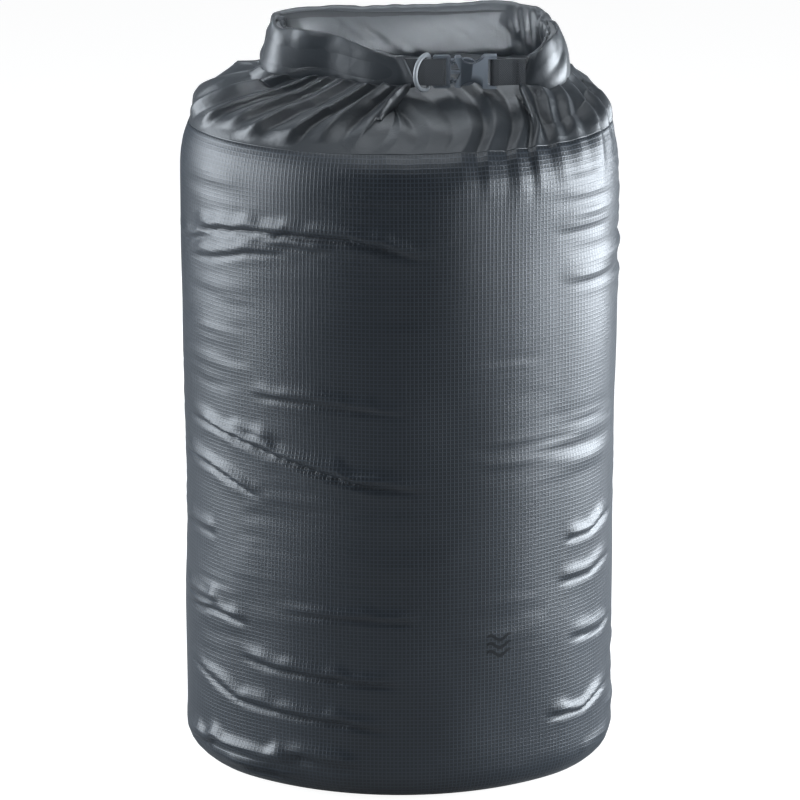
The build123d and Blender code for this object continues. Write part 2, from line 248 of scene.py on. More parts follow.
def dress(tree, shader, colour, rough, height, distance, strength):
    """Give a shader its colour, its roughness, and a bump whose whole height is distance mm."""
    inputs = {"Height": height, "Distance": distance * MM, "Strength": strength}
    bump = shade(tree, "ShaderNodeBump", inputs).outputs[0]
    fill(tree, shader, {"Base Color": colour, "Roughness": rough, "Normal": bump})


def ridge(tree, value, pitch, width):
    """1 on a thread that repeats every pitch metres and is width wide, 0 between threads."""
    cell = maths(tree, "FRACT", maths(tree, "DIVIDE", value, pitch))
    off = maths(tree, "ABSOLUTE", maths(tree, "SUBTRACT", cell, 0.5))
    share = width / pitch / 2
    edges = {"Value": off, "From Min": share * 1.6, "From Max": share * 0.4}
    return shade(tree, "ShaderNodeMapRange", edges, interpolation_type="SMOOTHSTEP").outputs[0]


def cloth_places(tree):
    """Sockets of a piece's flat cloth coordinates, across and along, in metres."""
    flat = shade(tree, "ShaderNodeUVMap", uv_map="Cloth").outputs[0]
    split = shade(tree, "ShaderNodeSeparateXYZ", {0: flat})
    return split.outputs[0], split.outputs[1]


# ---------------------------------------------------------------- materials
def ripstop_nylon(looks):
    """Coated ripstop nylon: thin, tight plain weave with a thicker thread every few millimetres.

    The polyurethane coating gives broad soft highlights. The thick threads are bumped and painted a
    paler colour, a painted highlight, so they show as a fine square grid. The grid has its real
    pitch, and its threads are a little wide.
    """
    made, tree, shader = material("coated_ripstop_nylon")
    lines = [ridge(tree, way, looks.ripstop_pitch, 0.75 * MM) for way in cloth_places(tree)]
    threads = maths(tree, "MAXIMUM", *lines)
    place = object_place(tree)
    broad = noise(tree, place, 14.0, 4.0)
    weave = noise(tree, place, 900.0, 2.0)
    cloth = mix_colours(tree, broad, (*looks.ripstop_dark, 1), (*looks.ripstop_light, 1))
    # Painted highlight: the thick threads are painted paler, standing in for the light they catch.
    shown = maths(tree, "MULTIPLY", threads, 0.3)
    colour = mix_colours(tree, shown, cloth, (*looks.ripstop_thread_highlight, 1))
    grid, grain = maths(tree, "MULTIPLY", threads, 0.8), maths(tree, "MULTIPLY", weave, 0.35)
    rough = maths(tree, "MULTIPLY_ADD", broad, 0.1, 0.36)
    dress(tree, shader, colour, rough, maths(tree, "ADD", grid, grain), 0.14, 0.7)
    fill(tree, shader, {"Specular IOR Level": 0.7, "Sheen Weight": 0.06, "Sheen Roughness": 0.35})
    return made


def smooth_nylon(looks):
    """Coated plain-weave nylon: the collar's cloth, finely crinkled and with no grid."""
    made, tree, shader = material("coated_plain_nylon")
    place = object_place(tree)
    broad = noise(tree, place, 22.0, 5.0)
    weave = noise(tree, place, 1200.0, 2.0)
    crinkle = noise(tree, place, 90.0, 3.0, 0.6)
    colour = mix_colours(tree, broad, (*looks.collar_dark, 1), (*looks.collar_light, 1))
    coarse, fine = maths(tree, "MULTIPLY", crinkle, 0.7), maths(tree, "MULTIPLY", weave, 0.12)
    rough = maths(tree, "MULTIPLY_ADD", broad, 0.12, 0.37)
    dress(tree, shader, colour, rough, maths(tree, "ADD", coarse, fine), 0.8, 0.7)
    fill(tree, shader, {"Specular IOR Level": 0.7, "Sheen Weight": 0.1})
    return made


def woven_webbing(looks):
    """Woven polyamide webbing: two slanting sets of ribs, 1.3 mm apart, that cross each other."""
    made, tree, shader = material("woven_polyamide_webbing")
    place = shade(tree, "ShaderNodeSeparateXYZ", {0: object_place(tree)}).outputs
    slants = [maths(tree, way, place[0], place[2]) for way in ("ADD", "SUBTRACT")]
    weave = maths(tree, "MULTIPLY", *[ridge(tree, slant, 1.3 * MM, 0.8 * MM) for slant in slants])
    colour = mix_colours(tree, weave, (*looks.webbing_dark, 1), (*looks.webbing_light, 1))
    dress(tree, shader, colour, 0.7, weave, 0.25, 0.9)
    fill(tree, shader, {"Sheen Weight": 0.25})
    return made


def moulded_acetal(name, dark, light):
    """Injection-moulded acetal: a fine spark-eroded grain, a soft gloss and edges painted paler as
    a painted highlight.
    """
    made, tree, shader = material(name)
    place = object_place(tree)
    grain = noise(tree, place, 2600.0, 2.0)
    cloud = noise(tree, place, 160.0, 3.0)
    # Painted highlight: the sharpest edges, found by Pointiness, are painted paler.
    pointed = shade(tree, "ShaderNodeNewGeometry").outputs["Pointiness"]
    edges = {"Value": pointed, "From Min": 0.51, "From Max": 0.56}
    edge_highlight = maths(tree, "MULTIPLY", shade(tree, "ShaderNodeMapRange", edges).outputs[0], 0.45)
    base = mix_colours(tree, cloud, (*dark, 1), (*light, 1))
    colour = mix_colours(tree, edge_highlight, base, linear("#8d949c"))
    rough = maths(tree, "MULTIPLY_ADD", cloud, 0.1, 0.3)
    dress(tree, shader, colour, rough, grain, 0.04, 0.5)
    return made


def plain_finish(name, dark, light, roughness, scale):
    """A satin film or thread whose colour wanders a little."""
    made, tree, shader = material(name)
    cloud = noise(tree, object_place(tree), scale, 3.0)
    colour = mix_colours(tree, cloud, linear(dark), linear(light))
    dress(tree, shader, colour, roughness, cloud, 0.1, 0.4)
    return made


# ---------------------------------------------------------------- the sack's surfaces
def oval_ring(width, depth, count, bunching=0.0):
    """Points of the sack's oval from the back middle round by the left, and their signed distances.

    Two end arcs and a front and a back arc meet tangent. Points are evenly spaced along it, or
    closer together at the front by bunching. Distances count from the front middle, + to the right.
    """
    end = END_RADIUS - (HALF_DEPTH - depth)
    flat = ((width - end) ** 2 + depth**2 - end**2) / (2 * (depth - end))
    meet = np.arctan2(width - end, flat - depth)
    low = np.linspace(0, meet, 90)
    side = np.linspace(meet, np.pi / 2, 60)[1:]
    x = np.concatenate([flat * np.sin(low), (width - end) + end * np.sin(side)])
    y = np.concatenate([(flat - depth) - flat * np.cos(low), -end * np.cos(side)])
    quarter = np.stack([x, y], 1)
    half = np.concatenate([quarter, (quarter * [1, -1])[-2::-1]])
    ring = np.concatenate([half, (half * [-1, 1])[-2::-1]])
    run = np.concatenate([[0], np.cumsum(np.linalg.norm(np.diff(ring, axis=0), axis=1))])
    t = np.arange(count + 1) / count - 0.5
    t = t - bunching * np.sin(TURN * t) / TURN
    found = np.stack([np.interp((t % 1) * run[-1], run, ring[:, k]) for k in (0, 1)], 1)
    return found[:-1], t * run[-1]


def ring_normals(ring):
    """Outward level normals of a closed ring that goes round counterclockwise from above."""
    along = np.roll(ring, -1, axis=0) - np.roll(ring, 1, axis=0)
    out = np.stack([along[:, 1], -along[:, 0]], 1)
    return out / np.linalg.norm(out, axis=1)[:, None]


# Creases where the stuffed cloth buckles across the front: each is a line of points (share of the
# half width, share of the body's height), with its depth and its width in mm.
CREASES = (
    (((-0.93, 0.93), (-0.81, 0.94), (-0.72, 0.945), (-0.48, 0.955)), 2.6, 5.0),
    (((-0.99, 0.9), (-0.84, 0.93)), 1.2, 4.0),
    (((-0.67, 0.935), (-0.5, 0.95), (-0.23, 0.95), (-0.1, 0.94), (0.17, 0.91)), 2.6, 5.5),
    (((-0.64, 0.93), (-0.49, 0.93), (-0.28, 0.925)), 1.4, 4.0),
    (((-0.96, 0.88), (-0.86, 0.89), (-0.7, 0.91), (-0.48, 0.92)), 1.3, 4.5),
    (((-0.7, 0.675), (-0.4, 0.675), (0.08, 0.66)), 1.4, 4.5),
    (((-0.99, 0.61), (-0.87, 0.605), (-0.53, 0.575), (-0.2, 0.545), (0.18, 0.53)), 2.9, 5.2),
    (((-0.8, 0.615), (-0.54, 0.6)), 1.0, 4.0),
    (((-1.0, 0.54), (-0.87, 0.535), (-0.63, 0.5)), 2.3, 4.8),
    (((-1.0, 0.42), (-0.84, 0.42)), 1.4, 5.0),
    (((-1.0, 0.3), (-0.82, 0.305)), 1.6, 4.5),
    (((-1.0, 0.275), (-0.85, 0.29), (-0.69, 0.28)), 2.0, 4.8),
    (((-0.57, 0.315), (-0.17, 0.315), (0.11, 0.31)), 1.5, 4.5),
    (((-0.75, 0.225), (-0.6, 0.215), (-0.22, 0.205), (0.06, 0.2)), 1.8, 5.0),
    (((-0.99, 0.19), (-0.88, 0.17), (-0.74, 0.145), (-0.22, 0.13), (0.02, 0.115)), 1.8, 5.0),
    (((-1.0, 0.03), (-0.86, 0.055), (-0.62, 0.05), (-0.44, 0.045)), 3.6, 6.0),
    (((-0.55, 0.07), (-0.36, 0.06), (-0.16, 0.055)), 2.0, 5.0),
    (((-0.84, 0.02), (-0.65, 0.03), (-0.43, 0.025)), 2.4, 5.0),
    (((0.75, 0.42), (0.88, 0.42), (0.99, 0.44)), 2.0, 5.5),
    (((0.71, 0.35), (0.88, 0.35), (0.99, 0.365)), 1.3, 5.0),
    (((0.76, 0.25), (0.94, 0.24), (0.99, 0.25)), 1.5, 5.0),
    (((0.66, 0.12), (0.85, 0.115), (0.99, 0.14)), 2.2, 5.0),
    (((0.84, 0.03), (0.99, 0.04)), 1.6, 5.0),
)


def distance_to_line(x, z, line):
    """How far each point is from a line of points, and how far along the line it lies, 0 to 1."""
    best = np.full(x.shape, 1e9)
    share = np.zeros(x.shape)
    steps = len(line) - 1
    for number, ((x0, z0), (x1, z1)) in enumerate(zip(line[:-1], line[1:])):
        dx, dz = x1 - x0, z1 - z0
        t = np.clip(((x - x0) * dx + (z - z0) * dz) / (dx * dx + dz * dz), 0, 1)
        away = np.hypot(x - x0 - t * dx, z - z0 - t * dz)
        nearer = away < best
        best = np.where(nearer, away, best)
        share = np.where(nearer, (number + t) / steps, share)
    return best, share


def body_relief(ring, u, z):
    """How far the body's cloth stands out from the plain wall, in mm, round the ring and up.

    Soft bulges of the contents, small level puckers that are strongest at both sides, and each
    crease as a groove with a lip above it. The relief dies out at the base seam.
    """
    u = u[:-1][:, None] + 0 * z
    height = 0 * u + z
    x = ring[:, 0][:, None] + 0 * z
    front = ring[:, 1][:, None] < 0.2 * HALF_DEPTH
    relief = 1.6 * value_noise(u / 95, height / 120, 3) + 0.8 * value_noise(u / 42, height / 60, 5)
    patch = smooth(value_noise(u / 80, height / 70, 9) * 2 + 0.35)
    pucker = value_noise(u / 75, height / 8, 8) + 0.5 * value_noise(u / 40, height / 4.5, 12)
    sides = smooth((np.abs(x) / HALF_WIDTH - 0.5) * 2.5)
    relief = relief + (0.32 + 0.5 * sides) * pucker * patch
    for line, depth, width in CREASES:
        places = [(a * HALF_WIDTH, BASE_SEAM + b * (WALL_TOP - BASE_SEAM)) for a, b in line]
        away, along = distance_to_line(x, height, places)
        above = np.sign(height - np.interp(x, *zip(*places)))
        fade = smooth(along * 4) * smooth((1 - along) * 4) * front
        wobble = width * (1 + 0.3 * value_noise(u / 12, height / 40, 21))
        groove = -np.exp(-((away / (0.4 * wobble)) ** 2))
        lip = (0.55 + 0.4 * above) * np.exp(-(((away - wobble) / wobble) ** 2))
        relief = relief + depth * fade * (groove + lip)
    return relief * smooth((height - BASE_SEAM) / 14)


def body_rows(ring, heights):
    """Points of the plain body: the oval carried up the wall and on over the stuffed shoulder."""
    out = ring_normals(ring)
    bend = np.maximum(BASE_RADIUS - heights, 0)
    inset = BASE_RADIUS - np.sqrt(np.maximum(BASE_RADIUS**2 - bend**2, 0))
    width, depth, shift = shoulder_at(heights)
    points = np.empty((len(ring), len(heights), 3))
    points[..., 0] = ring[:, :1] * (width / HALF_WIDTH) - out[:, :1] * inset
    points[..., 1] = ring[:, 1:] * (depth / HALF_DEPTH) + shift - out[:, 1:] * inset
    points[..., 2] = heights
    return points


# ---------------------------------------------------------------- the rolled mouth's line
def through(points, count):
    """A smooth line through rows of numbers: a cubic (Catmull-Rom) from each row to the next."""
    rows = np.array(points, float)
    gaps = np.linalg.norm(np.diff(rows[:, :3], axis=0), axis=1)
    run = np.concatenate([[0], np.cumsum(gaps)])
    slopes = np.gradient(rows, run, axis=0)
    s = np.linspace(0, run[-1], count)
    k = np.clip(np.searchsorted(run, s, side="right") - 1, 0, len(rows) - 2)
    h = (run[k + 1] - run[k])[:, None]
    t = ((s - run[k]) / h[:, 0])[:, None]
    return (
        (2 * t**3 - 3 * t**2 + 1) * rows[k]
        + (t**3 - 2 * t**2 + t) * h * slopes[k]
        + (3 * t**2 - 2 * t**3) * rows[k + 1]
        + (t**3 - t**2) * h * slopes[k + 1]
    )


def roll_line(count):
    """The roll's middle line from its left end round the back to its right end.

    Rows hold x, y, z, height and thickness in mm. Half circles join the back stretch to a front
    band at the left that eases forward to the strap, and to the strap's own line at the right.
    """
    left_radius = (BACK_Y - STRAP_Y) * 19 / 60
    right_radius = (BACK_Y - STRAP_Y) / 2
    start_x, end_x = ROLL_LOW[0] + 9, ROLL_HIGH[0]
    drop, left_drop = BACK_Z - STRAP_Z, 9
    rows = [(LEFT_END, STRAP_Y, STRAP_Z, STRAP_TALL, STRAP_THICK)]
    first_x, last_x = start_x + 10, LEFT_END - 14
    first_y = BACK_Y - 2 * left_radius
    band = ((1.0, 26.5, 9.2), (0.75, 29, 10.4), (0.5, 31.5, 11.6), (0.25, 33, 12.4))
    for share, tall, thick in band:
        eased = share**2 * (3 - 2 * share)
        x = first_x + (last_x - first_x) * share
        y = first_y + (STRAP_Y - first_y) * eased
        rows.append((x, y, BACK_Z - left_drop - (drop - left_drop) * eased, tall, thick))

    def turn_row(middle, radius, side, fall, step):
        """The row at a step of an eighth of a turn from the back, sinking by fall all the way."""
        turn = np.pi / 4 * step
        away = 1 - np.cos(turn)
        x, y = middle + side * radius * np.sin(turn), BACK_Y - radius * away
        z = BACK_Z - fall * away / 2
        return x, y, z, ROLL_HEIGHT - 0.5 * step, ROLL_THICKNESS - 0.3 * step

    rows += [turn_row(start_x, left_radius, -1, left_drop, step) for step in (4, 3, 2, 1, 0)]
    for share in (0.33, 0.67):
        x = start_x + (end_x - start_x) * share
        rows.append((x, BACK_Y, BACK_Z, ROLL_HEIGHT, ROLL_THICKNESS))
    rows += [turn_row(end_x, right_radius, 1, drop, step) for step in range(5)]
    rows[-1] = (*rows[-1][:3], STRAP_TALL, STRAP_THICK)
    return through(rows, count)


def line_frames(line):
    """Level unit vectors along a line and out of the loop it bends round."""
    along = np.gradient(line[:, :2], axis=0)
    along /= np.linalg.norm(along, axis=1)[:, None]
    return along, np.stack([along[:, 1], -along[:, 0]], 1) * -1


def run_of(line):
    """Distance along a line of points."""
    return np.concatenate([[0], np.cumsum(np.linalg.norm(np.diff(line[:, :3], axis=0), axis=1))])


def rounded_box(angle, tall, thick, square=3.2):
    """A section between an ellipse and a box: |a|^n + |b|^n = 1, with its size in mm."""
    c, s = np.cos(angle), np.sin(angle)
    reach = (np.abs(c) ** square + np.abs(s) ** square) ** (-1 / square)
    return thick / 2 * c * reach, tall / 2 * s * reach


def wrinkles(angle, run, to_end, up, turn):
    """How far the roll's cloth swells, in mm: slanting folds, and tight gathers at both turns."""
    slant = run + 1.3 * up
    folds = 0.75 * value_noise(slant / 17, up / 30, 31) + 0.5 * value_noise(slant / 8, up / 22, 32)
    inner = smooth(-np.cos(angle) * 1.5 + 0.2)
    gather = np.abs(np.sin(run / 3.1 + 0.08 * up)) - 0.6
    swell = folds + turn * (1.5 * gather * (0.35 + inner) + 0.8 * folds)
    ends = smooth(run / 14) * smooth(to_end / 14)
    return swell * (0.25 + 0.75 * ends)


def roll_tube(count, section_count, inset, wrinkled):
    """Points of one layer of the roll, its section carried along the roll's line.

    The section is a rounded box, drawn in by inset, that closes on the strap at both ends. It
    leans in at the turns and back along the back. Wrinkled layers get folds and gathers, and along
    the front a slit in the top beside which the last turn of cloth stands up as a lip.
    """
    line = roll_line(count)
    along, out = line_frames(line)
    run = run_of(line)[:, None]
    to_end = run[-1] - run
    x, y, tall, thick = (line[:, k : k + 1] for k in (0, 1, 3, 4))
    angle = (np.arange(section_count) / section_count * TURN)[None, :]
    closing = smooth(run / 9) * smooth(to_end / 9)
    tall, thick = tall - 2 * inset, (thick - 2 * inset) * (0.5 + 0.5 * closing)
    across, up = rounded_box(angle, tall, thick)
    left_turn = smooth((BACK_Y + 2 - y) / 14) * smooth((ROLL_LOW[0] + 22 - x) / 22)
    right_turn = smooth((x - ROLL_HIGH[0] + 14) / 20) * smooth((y - STRAP_Y - 2) / 16)
    back = smooth((y - BACK_Y + 14) / 12)
    lean = 0.3 * left_turn + 0.25 * right_turn - 0.5 * back
    crown = back * (0.3 + 2.6 * np.sin(x / 66 - 0.2)) * smooth((112 - x) / 55)
    if wrinkled:
        swell = wrinkles(angle, run, to_end, up, np.maximum(left_turn, right_turn))
        front = smooth((BACK_Y - 14 - y) / 10)
        slit = 6.0 * np.exp(-(((angle - 0.5 * np.pi) / 0.2) ** 2))
        lip = 3.8 * np.exp(-(((angle - 0.30 * np.pi) / 0.22) ** 2))
        waver = 1 + 0.8 * value_noise(run / 22, 0 * up, 35)
        up = up + front * smooth(run / 34) * smooth(to_end / 30) * (lip * waver - slit)
        hollow = np.exp(-(((up + 1) / (0.28 * tall)) ** 2)) * smooth(np.cos(angle) * 3)
        left_front = smooth((x < 20) * front) * smooth(run / 30)
        across = across - left_front * hollow * 2.8
        scale = 1 + swell / np.hypot(across, up).clip(4)
        across, up = across * scale, up * scale
    slanted = (up * 0.45 + 2) * (1 - smooth(run / 24)) - (up * 0.3 + 4) * (1 - smooth(to_end / 20))
    across = across - lean * up
    up = up + crown * smooth((up + 8) / 16)
    points = np.empty((section_count, count, 3))
    moved = out[:, None] * across[..., None] + along[:, None] * slanted[..., None]
    points[..., :2] = (line[:, None, :2] + moved).transpose(1, 0, 2)
    points[..., 2] = (line[:, 2:3] + up).T
    girth = np.arange(section_count + 1)[:, None] / section_count * 0.09 + 0 * run.T
    uv = np.stack([girth, 0 * girth + run.T * MM], -1)
    return points, uv


def stiffener_strip(count):
    """Points of the upright plastic strip inside the roll, 1 mm thick, along the roll's line."""
    line = roll_line(count)
    out = line_frames(line)[1]
    points = np.empty((4, count, 3))
    tall = line[:, 3] / 2 - 3.2
    for k, (across, up) in enumerate(((-0.5, 1), (0.5, 1), (0.5, -1), (-0.5, -1))):
        points[k, :, :2] = line[:, :2] + out * across
        points[k, :, 2] = line[:, 2] + tall * up
    return points


# ---------------------------------------------------------------- the collar
# The stuffed shoulder's outline: its width, its depth, how high it lies and how far it has moved
# towards the roll's line, each as a share.
SHOULDER = np.array(
    [
        (1.00, 1.00, 0.00, 0.00),
        (0.998, 0.993, 0.16, 0.01),
        (0.978, 0.945, 0.38, 0.06),
        (0.93, 0.79, 0.62, 0.22),
        (0.85, 0.53, 0.80, 0.46),
        (0.755, 0.28, 0.92, 0.72),
        (0.67, 0.11, 1.00, 1.00),
    ]
)


def shoulder_at(z):
    """Half width, half depth and shift of the stuffed shoulder at heights z in mm."""
    up = np.clip((z - WALL_TOP) / (SHOULDER_TOP - WALL_TOP), 0, 1)
    table = through(SHOULDER[:, [2, 0, 1, 3]], 400)
    order = np.argsort(table[:, 0])
    width, depth, back = (np.interp(up, table[order, 0], table[order, k]) for k in (1, 2, 3))
    return HALF_WIDTH * width, HALF_DEPTH * depth, BACK_Y * back


def pushed_clear(points, margin):
    """Points moved level and outward until they stand margin mm clear of the stuffed shoulder.

    At each height the shoulder is the sack's own oval, scaled, so a point's reach is its distance
    from the middle over the oval's in that direction.
    """
    ring = oval_ring(HALF_WIDTH, HALF_DEPTH, 400)[0] / [HALF_WIDTH, HALF_DEPTH]
    directions = np.arctan2(ring[:, 1], ring[:, 0])
    width, depth, shift = shoulder_at(points[..., 2])
    x, y = points[..., 0], points[..., 1] - shift
    direction = np.arctan2(y / depth, x / width)
    edge = np.interp(direction, directions, np.linalg.norm(ring, axis=1), period=TURN)
    reach = np.hypot(x / width, y / depth) / edge
    wanted = 1 + margin / np.minimum(width, depth)
    inside = (reach < wanted) & (points[..., 2] < SHOULDER_TOP)
    grow = np.where(inside, wanted / np.maximum(reach, 0.05), 1)
    moved = points.copy()
    moved[..., 0] = x * grow
    moved[..., 1] = y * grow + shift
    return moved


# Where the front cloth parts: between these distances from the front middle, in mm, it passes
# under the strap into the loop. Left and right of them it hangs from the roll's outer side.
PART_LEFT, PART_RIGHT = -42.0, 120.0
GATE_BEHIND, GATE_BELOW = 6.0, 21.0  # the gate's place from the strap's middle
ROLL_ENTRY, ENTRY_RISE = 2.4, 4.0  # where it goes into the roll, from the middle and the underside


def mouth_loop(u):
    """Where each column of the collar enters the roll, and the gate under the strap it passes."""
    line = roll_line(900)
    run = run_of(line)
    out = line_frames(line)[1]
    end = u[-1]
    back = run[np.argmin(np.abs(line[:, 0]) + 10 * np.abs(line[:, 1] - BACK_Y))]
    s = np.interp(
        u, [-end, PART_LEFT - 1, PART_LEFT + 1, PART_RIGHT - 1, PART_RIGHT + 1, end],
        [back, 0, 0, run[-1], run[-1], back],
    )
    inner = (u > PART_LEFT) & (u < PART_RIGHT)
    base = np.stack([np.interp(s, run, line[:, k]) for k in range(4)], 1)
    away = np.stack([np.interp(s, run, out[:, k]) for k in (0, 1)], 1)
    near_end = smooth(np.minimum(s, run[-1] - s) / 8)
    loop = np.empty((len(u), 3))
    side = np.where(inner, -ROLL_ENTRY, ROLL_ENTRY) * near_end
    loop[:, :2] = base[:, :2] + away * side[:, None]
    loop[:, 2] = base[:, 2] - base[:, 3] / 2 + ENTRY_RISE
    gate = np.empty((len(u), 3))
    gate[:, 0] = np.interp(u, [PART_LEFT, PART_RIGHT], [LEFT_END + 3, ROLL_HIGH[0] - 3])
    gate[:, 1:] = STRAP_Y + GATE_BEHIND, STRAP_Z - GATE_BELOW
    pull = smooth(np.minimum(u - PART_LEFT, PART_RIGHT - u) / 16)
    return loop, gate, pull[:, None]


def collar_rows(bottom, u, rows):
    """Points of the plain collar: from the seam to the roll, over the contents.

    Each column is a quadratic Bezier curve. Outer columns go straight, and the ones that pass
    under the strap bend at its gate.
    """
    top, gate, pull = mouth_loop(u)
    gate = (bottom + top) / 2 * (1 - pull) + gate * pull
    t = np.linspace(0, 1, rows)[None, :, None]
    points = (1 - t) ** 2 * bottom[:, None] + 2 * t * (1 - t) * gate[:, None] + t**2 * top[:, None]
    return pushed_clear(points, 1.5 * smooth(t[..., 0] / 0.3))


# How the pleats run round the mouth, by the distance from the front middle in mm: their spacing,
# their height, how high up the collar the lowest one starts, how much higher the others may, and
# how long they take to rise, the last three as shares of the collar's length.
PLEATS = np.array(
    [
        (-460, 34, 5.0, -0.15, 0.4, 0.55),
        (-240, 30, 6.5, -0.08, 0.3, 0.40),
        (-160, 28, 9.0, -0.02, 0.16, 0.30),
        (-60, 30, 8.5, -0.02, 0.20, 0.34),
        (-20, 34, 4.2, -0.4, 0.30, 0.90),
        (70, 27, 4.2, -0.7, 0.35, 1.00),
        (110, 20, 6.0, -0.75, 0.35, 1.00),
        (200, 21, 7.0, -0.6, 0.45, 0.80),
        (300, 28, 6.0, -0.1, 0.40, 0.50),
        (460, 34, 5.0, -0.15, 0.4, 0.55),
    ]
)


def by_cell(cell, seed):
    """One steady random number from 0 to 1 for each whole number."""
    return value_noise(cell + 0.0, 0 * cell + 7.0, seed) / 2 + 0.5


def pleat_relief(u, climb):
    """How far the gathered cloth stands out near the mouth, in mm.

    climb is 0 at the collar's seam and 1 at the roll, and below 0 on the body. Each pleat is a
    ridge of two flat faces, one steep, that starts to a point and rises towards the roll.
    """
    height, start, spread, taper = (np.interp(u, PLEATS[:, 0], PLEATS[:, k]) for k in range(2, 6))
    fine = np.linspace(PLEATS[0, 0], PLEATS[-1, 0], 2000)
    count = np.cumsum(1 / np.interp(fine, PLEATS[:, 0], PLEATS[:, 1])) * (fine[1] - fine[0])
    bent = u + 14 * value_noise(u / 90, climb * 1.3, 41) + 4 * value_noise(u / 40, climb * 2.2, 42)
    phase = np.interp(bent, fine, count)
    cell = np.floor(phase)
    part = phase - cell
    crest = 0.25 + 0.5 * by_cell(cell, 43)
    ridge_shape = np.where(part < crest, part / crest, (1 - part) / (1 - crest))
    begins = start + spread * by_cell(cell, 44)
    rise = smooth((climb - begins) / taper)
    relief = height * (0.45 + 0.75 * by_cell(cell, 45)) * rise * ridge_shape
    small = np.abs(value_noise(bent / 11, climb * 2.5, 46)) - 0.3
    crumple = np.abs(value_noise(bent / 24, climb * 5, 47)) - 0.3
    relief = relief - rise * (0.8 * small + 0.9 * crumple) * height / 6
    return relief * smooth((1 - climb) / 0.1)


def upper_cloth(low_rows, high_rows, crease_height, pleat_height):
    """The cloth from the base seam to the roll, with its creases and pleats, and its flat places.

    low_rows are the heights of the body's rows up to the seam, in mm, and high_rows the number
    of the collar's. The body's last row is the collar's first, so the two panels meet. Creases
    and pleats die out at the upright back seam.
    """
    ring, u = oval_ring(HALF_WIDTH, HALF_DEPTH, PANEL_COLUMNS, FRONT_BUNCHING)
    body = body_rows(ring, low_rows)
    collar = collar_rows(body[:, -1], u[:-1], high_rows)
    plain = np.concatenate([body, collar[:, 1:]], axis=1)
    steps = np.linalg.norm(np.diff(collar, axis=1), axis=2).mean(0)
    climb = np.concatenate([(low_rows - COLLAR_SEAM) / 85, np.linspace(0, 1, high_rows)[1:]])
    far = np.concatenate([low_rows, COLLAR_SEAM + np.cumsum(steps)])
    columns = u[:-1][:, None]
    relief = pleat_height * pleat_relief(columns + 0 * climb, 0 * columns + climb)
    wall = crease_height * body_relief(ring, u, low_rows[None, :])
    relief[:, : len(low_rows)] += wall
    relief[:, len(low_rows) :] += wall[:, -1:] * smooth(1 - climb[len(low_rows) :] / 0.5)
    relief *= smooth((u[-1] - np.abs(columns)) / BACK_SEAM_FADE)
    points = plain + grid_normals(plain) * relief[..., None]
    uv = np.stack(np.meshgrid(u * MM, far * MM, indexing="ij"), -1)
    return points, plain, uv


def on_cloth(points, u, heights, at_u, at_z, lift):
    """Points lift mm off the cloth, at distances at_u from the front middle and heights at_z."""
    i = np.clip(np.searchsorted(u, at_u) - 1, 0, len(points) - 2)
    j = np.clip(np.searchsorted(heights, at_z) - 1, 0, len(heights) - 2)
    a = ((at_u - u[i]) / (u[i + 1] - u[i]))[..., None]
    b = ((at_z - heights[j]) / (heights[j + 1] - heights[j]))[..., None]

    def between(grid):
        low = grid[i, j] * (1 - a) + grid[i + 1, j] * a
        return low * (1 - b) + (grid[i, j + 1] * (1 - a) + grid[i + 1, j + 1] * a) * b

    return between(points) + between(grid_normals(points)) * lift


def printed_waves(points, u, heights):
    """A small printed sign low on the right: three wavy strokes, one above another."""
    along = np.linspace(0, 1, 40)[:, None]
    across = np.linspace(-1, 1, 5)[None, :]
    middle_u, middle_z = 0.46 * HALF_WIDTH, 127.0
    for number in range(3):
        at_u = middle_u + 20 * (along - 0.5) + 0 * across
        thick = 1.35 * np.sqrt(1 - (2 * along - 1) ** 6)
        swing = 2.2 * np.sin(TURN * 1.25 * along + 0.4)
        at_z = middle_z + 6.4 * (number - 1) + swing + thick * across
        stroke = on_cloth(points, u, heights, at_u, at_z, 0.22)[:, ::-1]
        yield grid_mesh(f"printed_wave_{number + 1}", stroke, np.zeros((40, 5, 2)), closed=False)


# ---------------------------------------------------------------- the base
def base_surface():
    """Points of the flat bottom, row by row outward, and of the round edge up to the wall."""
    reach = np.concatenate([np.linspace(0.004, 0.9, 14), np.linspace(0.93, 1.0, 6)])
    z = np.linspace(0, BASE_SEAM, 7)[1:]
    inset = BASE_RADIUS - np.sqrt(BASE_RADIUS**2 - (BASE_RADIUS - z) ** 2)
    ring = oval_ring(HALF_WIDTH, HALF_DEPTH, PANEL_COLUMNS, FRONT_BUNCHING)[0]
    out = ring_normals(ring)
    foot = ring - out * BASE_RADIUS
    flat = np.zeros((len(ring), len(reach), 3))
    flat[..., :2] = foot[:, None] * reach[None, :, None]
    rise = np.empty((len(ring), len(z), 3))
    rise[..., :2] = ring[:, None] - out[:, None] * inset[None, :, None]
    rise[..., 2] = z
    return np.concatenate([flat, rise], axis=1)


# ---------------------------------------------------------------- what a user would change
def colour_setting(name, description, default):
    """A colour in the panel, with its default from an sRGB hex value."""
    shown = {"name": name, "description": description, "subtype": "COLOR", "min": 0.0, "max": 1.0}
    return FloatVectorProperty(default=linear(default)[:3], **shown)


def factor_setting(name, description, default):
    """A factor in the panel."""
    return FloatProperty(name=name, description=description, default=default, min=0.0, max=2.0)


